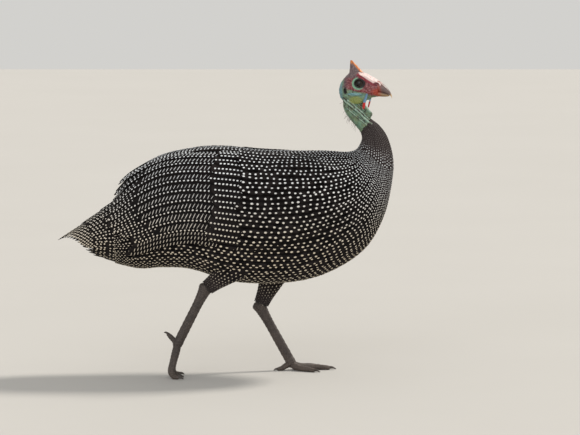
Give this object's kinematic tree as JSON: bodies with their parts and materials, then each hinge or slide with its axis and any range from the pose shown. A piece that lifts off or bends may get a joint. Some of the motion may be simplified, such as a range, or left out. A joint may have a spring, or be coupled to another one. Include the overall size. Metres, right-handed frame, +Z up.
{
  "type": "guinea fowl",
  "caption": "Life-size still model of an adult helmeted guinea fowl in mid-stride, standing on its own two feet.",
  "frame": {"origin": "on the floor, under the middle of the bird's whole box", "axes": "+X towards the breast and bill, +Y to the bird's left, +Z up"},
  "size_m": [0.4353, 0.1564, 0.4094],
  "materials": {
    "plumage": "black feathers with round off-white spots, faceted plain here",
    "neck_plumage": "short fine grey-black feathers",
    "blue_skin": "bare pale blue-green skin",
    "red_skin": "bare dull red skin",
    "horn": "orange-brown horn over bone",
    "bill": "horn, smooth",
    "eye": "wet dark brown",
    "wattle": "soft bare skin",
    "leg": "dark grey-brown scaled skin",
    "claw": "dark horn"
  },
  "bodies": {
    "root": {"torso": "plumage", "wing_right": "plumage", "wing_left": "plumage", "tail": "plumage", "thigh_right": "plumage", "thigh_left": "plumage", "neck_lower": "neck_plumage", "neck_upper": "blue_skin", "head": "red_skin", "casque": "horn", "bill_upper": "bill", "bill_lower": "bill", "eye_right": "eye", "eye_left": "eye", "wattle_right": "wattle", "wattle_left": "wattle", "shank_right": "leg", "shank_left": "leg", "foot_right": "leg", "foot_left": "leg", "claw_right_middle": "claw", "claw_right_outer": "claw", "claw_right_inner": "claw", "claw_right_hind": "claw", "claw_left_middle": "claw", "claw_left_outer": "claw", "claw_left_inner": "claw", "claw_left_hind": "claw"}
  },
  "joints": []
}
